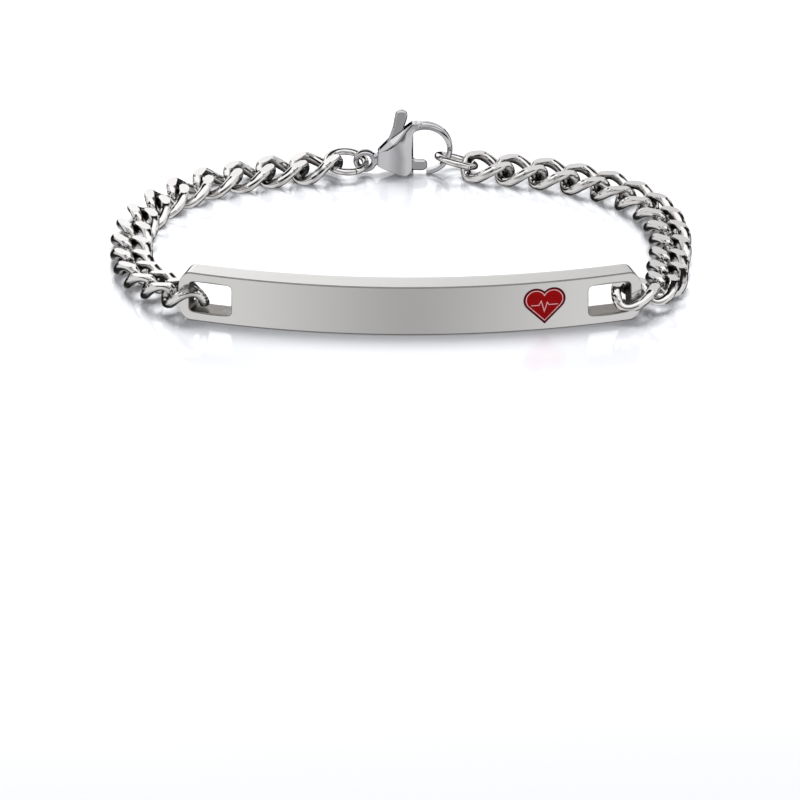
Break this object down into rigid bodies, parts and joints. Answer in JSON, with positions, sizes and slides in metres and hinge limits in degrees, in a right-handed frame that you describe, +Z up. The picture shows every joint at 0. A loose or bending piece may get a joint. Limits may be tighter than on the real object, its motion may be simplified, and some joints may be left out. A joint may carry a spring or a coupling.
{
  "type": "medical alert bracelet",
  "caption": "Curb chain identity bracelet lying closed: a bowed steel plate with a red enamel heart inlay, jump rings and a lobster clasp with a sprung lever",
  "frame": {"origin": "middle of the loop's footprint on the surface that the bracelet lies on", "axes": "+X to the right along the identity plate, +Y from the plate to the clasp, +Z up"},
  "size_m": [0.0754, 0.0522, 0.0092],
  "materials": {
    "plate_steel": "polished stainless steel with softened edges",
    "red_enamel": "glossy red enamel, filled level with the plate",
    "clasp_steel": "mirror-polished cast stainless steel",
    "chain_steel": "mirror-polished stainless steel wire, ground flat on two faces"
  },
  "bodies": {
    "root": {"id_plate": "plate_steel", "emblem": "red_enamel", "clasp_body": "clasp_steel", "clasp_pin": "clasp_steel", "jump_ring_left": "chain_steel", "jump_ring_right": "chain_steel", "link_left_1": "chain_steel", "link_left_2": "chain_steel", "link_left_3": "chain_steel", "link_left_4": "chain_steel", "link_left_5": "chain_steel", "link_left_6": "chain_steel", "link_left_7": "chain_steel", "link_left_8": "chain_steel", "link_left_9": "chain_steel", "link_left_10": "chain_steel", "link_left_11": "chain_steel", "link_left_12": "chain_steel", "link_left_13": "chain_steel", "link_left_14": "chain_steel", "link_right_1": "chain_steel", "link_right_2": "chain_steel", "link_right_3": "chain_steel", "link_right_4": "chain_steel", "link_right_5": "chain_steel", "link_right_6": "chain_steel", "link_right_7": "chain_steel", "link_right_8": "chain_steel", "link_right_9": "chain_steel", "link_right_10": "chain_steel", "link_right_11": "chain_steel", "link_right_12": "chain_steel", "link_right_13": "chain_steel", "link_right_14": "chain_steel"},
    "lever": {"clasp_lever": "clasp_steel"}
  },
  "joints": [
    {"name": "clasp_lever", "type": "hinge", "parent": "root", "child": "lever", "pos_m": [-0.00013, 0.0235, 0.00261], "axis": [0, -1, 0], "range_deg": [0, 20], "stiffness_Nm_per_rad": 0.005, "springref_deg": -20.05}
  ]
}
